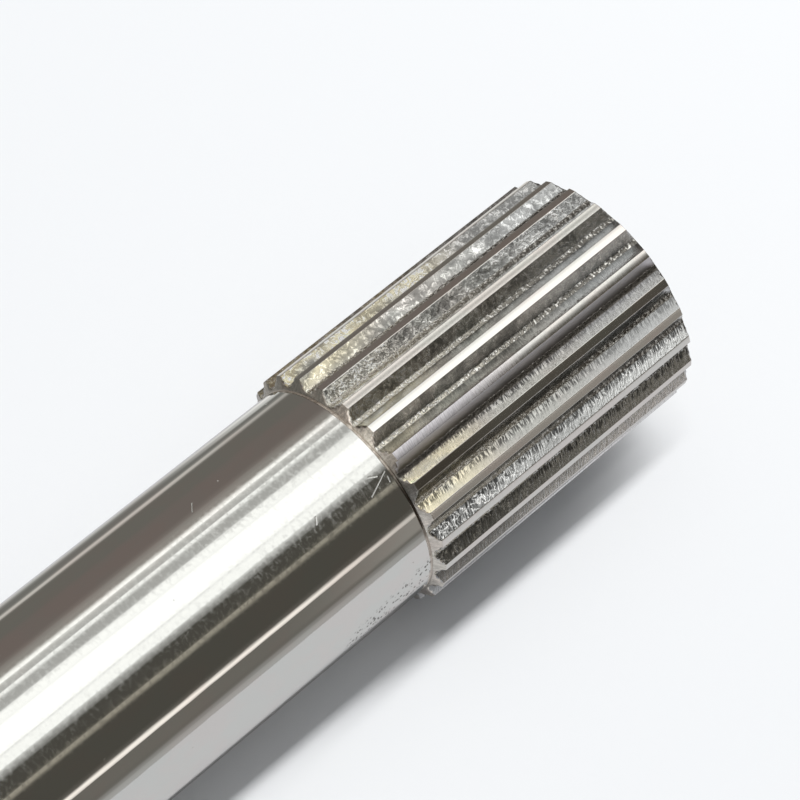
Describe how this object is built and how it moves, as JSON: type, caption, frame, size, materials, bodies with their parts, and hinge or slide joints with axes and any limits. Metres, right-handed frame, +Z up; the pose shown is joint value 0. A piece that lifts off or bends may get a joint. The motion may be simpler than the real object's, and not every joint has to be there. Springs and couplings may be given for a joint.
{
  "type": "splined shaft",
  "caption": "Polished steel shaft: a plain ground journal that ends in a larger, straight-toothed splined head, its teeth bevelled at both ends.",
  "frame": {"origin": "middle of the length, straight below the axis, on the surface the shaft lies on", "axes": "+X along the shaft towards the splined head, +Z up; the axis leans up towards the head by 0.78 degrees because the head is thicker than the journal"},
  "size_m": [0.0602, 0.0132, 0.0134],
  "materials": {
    "ground_steel": "bright ground and polished on the journal, as milled on the tooth flanks"
  },
  "bodies": {
    "root": {"splined_shaft": "ground_steel"}
  },
  "joints": []
}
